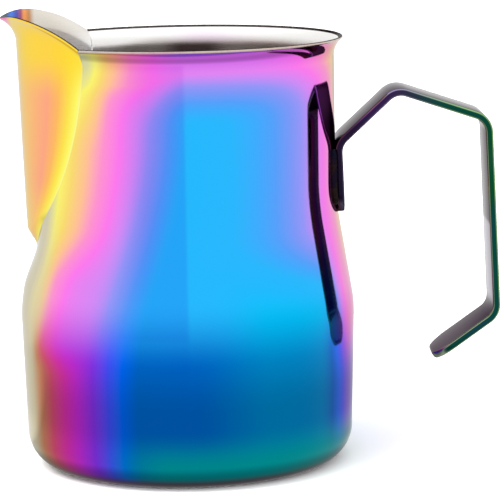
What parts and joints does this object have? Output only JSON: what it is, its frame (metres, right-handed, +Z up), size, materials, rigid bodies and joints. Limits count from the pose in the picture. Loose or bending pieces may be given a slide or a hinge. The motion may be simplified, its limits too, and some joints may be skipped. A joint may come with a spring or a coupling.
{
  "type": "milk frothing pitcher",
  "caption": "Open steel jug with a necked-in body, a flared mouth, a raised pouring beak and an open handle bent from flat strap, for steaming and pouring milk.",
  "frame": {"origin": "centre of the flat base, on the axis of the round body", "axes": "+Z up along the body's axis, -X towards the beak, +X towards the handle, XZ is the plane of symmetry"},
  "size_m": [0.1309, 0.0888, 0.1206],
  "materials": {
    "tinted_steel": "mirror polished outside with an interference tint from yellow through pink to blue, bare brushed steel inside",
    "weld_steel": "ground flush and polished, tinted with the sheet",
    "dark_steel": "polished strap with a dark green, violet and teal interference tint"
  },
  "bodies": {
    "root": {"body_shell": "tinted_steel", "beak": "tinted_steel", "beak_weld": "weld_steel", "handle": "dark_steel", "handle_weld": "weld_steel"}
  },
  "joints": []
}
